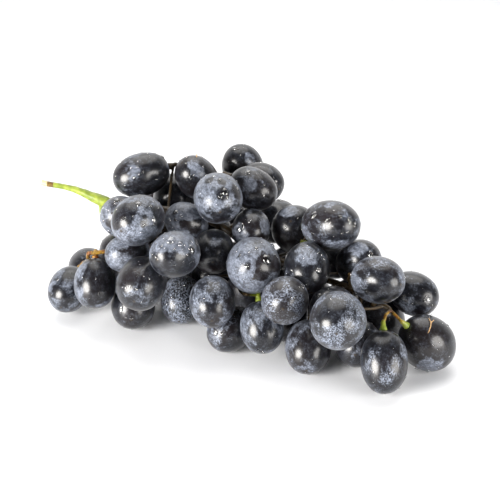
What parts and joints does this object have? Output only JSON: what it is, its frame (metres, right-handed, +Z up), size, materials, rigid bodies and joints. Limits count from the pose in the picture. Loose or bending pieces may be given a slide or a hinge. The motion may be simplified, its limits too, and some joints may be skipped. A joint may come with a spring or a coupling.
{
  "type": "bunch of grapes",
  "caption": "Bunch of black table grapes lying on its side: oval, bloom-dusted berries hung on one branching green stem.",
  "frame": {"origin": "on the surface that the bunch lies on, under the middle of its bounding box", "axes": "+X along the bunch, from the cut end of the stem to the tip; +Z up, away from the surface it lies on"},
  "size_m": [0.2018, 0.1226, 0.073],
  "materials": {
    "grape_skin": "blue-black waxy skin with a grey-blue bloom, glossy where it is rubbed",
    "green_stem": "fresh yellow-green bark, brown at the cut end and at the forks"
  },
  "bodies": {
    "root": {"berry_back_1": "grape_skin", "berry_back_10": "grape_skin", "berry_back_11": "grape_skin", "berry_back_12": "grape_skin", "berry_back_2": "grape_skin", "berry_back_3": "grape_skin", "berry_back_4": "grape_skin", "berry_back_5": "grape_skin", "berry_back_6": "grape_skin", "berry_back_7": "grape_skin", "berry_back_8": "grape_skin", "berry_back_9": "grape_skin", "berry_core_1": "grape_skin", "berry_core_2": "grape_skin", "berry_core_3": "grape_skin", "berry_crown_1": "grape_skin", "berry_crown_2": "grape_skin", "berry_crown_3": "grape_skin", "berry_crown_4": "grape_skin", "berry_crown_5": "grape_skin", "berry_crown_6": "grape_skin", "berry_face_1": "grape_skin", "berry_face_2": "grape_skin", "berry_face_3": "grape_skin", "berry_face_4": "grape_skin", "berry_face_5": "grape_skin", "berry_face_6": "grape_skin", "berry_face_7": "grape_skin", "berry_ridge_1": "grape_skin", "berry_ridge_2": "grape_skin", "berry_ridge_3": "grape_skin", "berry_ridge_4": "grape_skin", "berry_shoulder_1": "grape_skin", "berry_shoulder_2": "grape_skin", "berry_shoulder_3": "grape_skin", "berry_shoulder_4": "grape_skin", "berry_shoulder_5": "grape_skin", "berry_shoulder_6": "grape_skin", "berry_tip_1": "grape_skin", "berry_tip_2": "grape_skin", "berry_tip_3": "grape_skin", "berry_tip_4": "grape_skin", "berry_tip_5": "grape_skin", "berry_tip_6": "grape_skin", "berry_tip_7": "grape_skin", "berry_under_1": "grape_skin", "berry_under_2": "grape_skin", "berry_under_3": "grape_skin", "berry_under_4": "grape_skin", "berry_under_5": "grape_skin", "berry_under_6": "grape_skin", "berry_under_7": "grape_skin", "berry_under_8": "grape_skin", "berry_wing_1": "grape_skin", "berry_wing_2": "grape_skin", "berry_wing_3": "grape_skin", "berry_wing_4": "grape_skin", "berry_wing_5": "grape_skin", "berry_wing_6": "grape_skin", "stem": "green_stem"}
  },
  "joints": []
}
